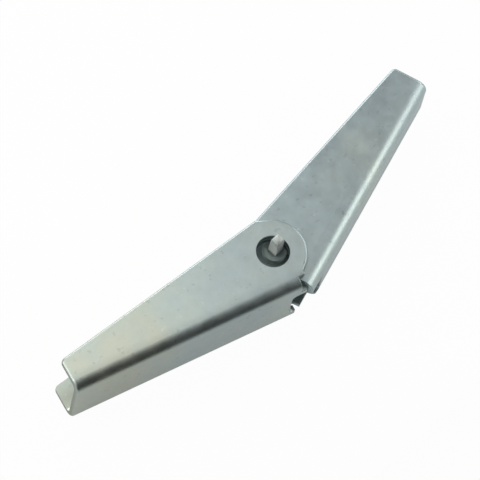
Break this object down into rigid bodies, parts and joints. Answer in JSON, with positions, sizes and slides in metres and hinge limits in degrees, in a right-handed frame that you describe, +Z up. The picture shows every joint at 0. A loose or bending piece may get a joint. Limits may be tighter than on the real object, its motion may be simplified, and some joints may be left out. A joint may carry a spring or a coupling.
{
  "type": "spring toggle bolt head",
  "caption": "Spring toggle head: pressed steel wings that hinge on a threaded trunnion nut, sprung open to bear on the back of a hollow wall.",
  "frame": {"origin": "middle of the nut's thread", "axes": "+Y along the thread towards the screw's head, +X across it towards the inner wing's tip, +Z along the pivot, out of the ear that the long lug stands out of; the head lies on its side with +Z up"},
  "size_m": [0.0711, 0.0165, 0.0131],
  "materials": {
    "wing_plate": "bright zinc plate, satin",
    "nut_steel": "bright zinc plate",
    "spring_wire": "drawn wire, satin"
  },
  "bodies": {
    "nut": {"trunnion_nut": "nut_steel", "torsion_spring": "spring_wire"},
    "outer_wing": {"outer_wing": "wing_plate"},
    "inner_wing": {"inner_wing": "wing_plate"}
  },
  "joints": [
    {"name": "outer_wing_hinge", "type": "hinge", "parent": "nut", "child": "outer_wing", "pos_m": [-0.0012, -0.00045, 0], "axis": [0, 0, -1], "range_deg": [0, 73], "stiffness_Nm_per_rad": 0.01, "springref_deg": -20.05, "deforming": ["torsion_spring"]},
    {"name": "inner_wing_hinge", "type": "hinge", "parent": "nut", "child": "inner_wing", "pos_m": [-0.0012, -0.00045, 0], "axis": [0, 0, 1], "range_deg": [0, 73], "stiffness_Nm_per_rad": 0.01, "springref_deg": -20.05, "deforming": ["torsion_spring"]}
  ]
}
